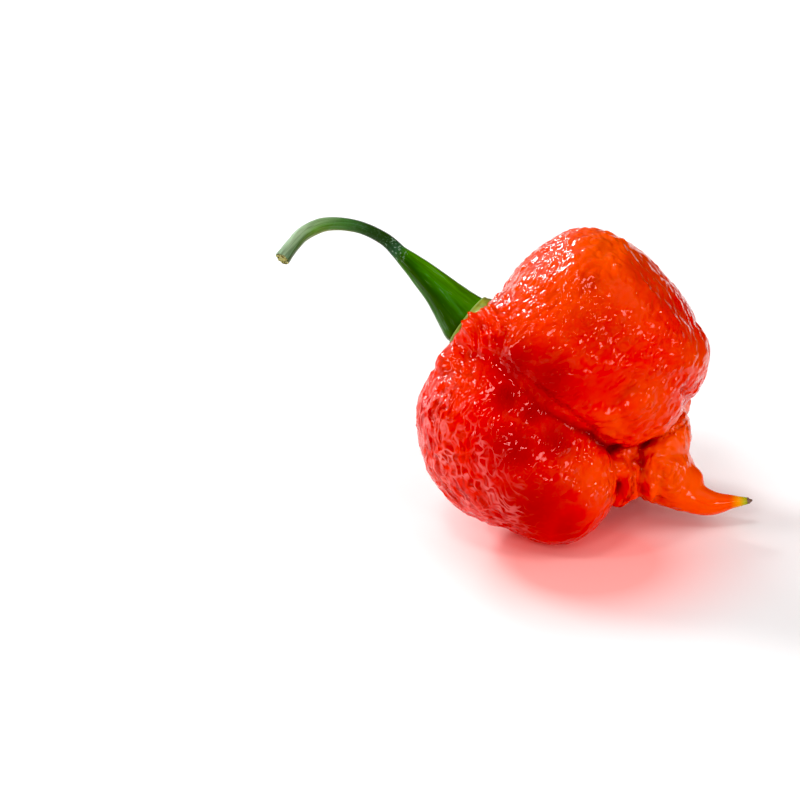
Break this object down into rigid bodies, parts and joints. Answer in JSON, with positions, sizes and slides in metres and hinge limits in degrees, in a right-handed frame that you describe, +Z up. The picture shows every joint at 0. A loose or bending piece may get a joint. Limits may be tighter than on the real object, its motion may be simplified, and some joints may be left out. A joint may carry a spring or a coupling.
{
  "type": "carolina reaper pepper",
  "caption": "Lumpy wrinkled red hot pepper pod lying on its side, with a thin upturned tail, a green calyx cup and a hooked green stem.",
  "frame": {"origin": "on the floor, under the middle of the whole object's box", "axes": "+Z up, +X towards the tip of the pod's tail with the stem at the other end, -Y towards the groove between the two big lobes"},
  "size_m": [0.0695, 0.0414, 0.0439],
  "materials": {
    "pod_skin": "glossy wrinkled red skin, more orange towards the tail",
    "calyx_green": "satin olive green with a pale rim",
    "stem_green": "satin ribbed green, tan on the cut end",
    "style_brown": "dry matt grey-brown"
  },
  "bodies": {
    "root": {"pod": "pod_skin", "calyx": "calyx_green", "stem": "stem_green", "style_remnant": "style_brown"}
  },
  "joints": []
}
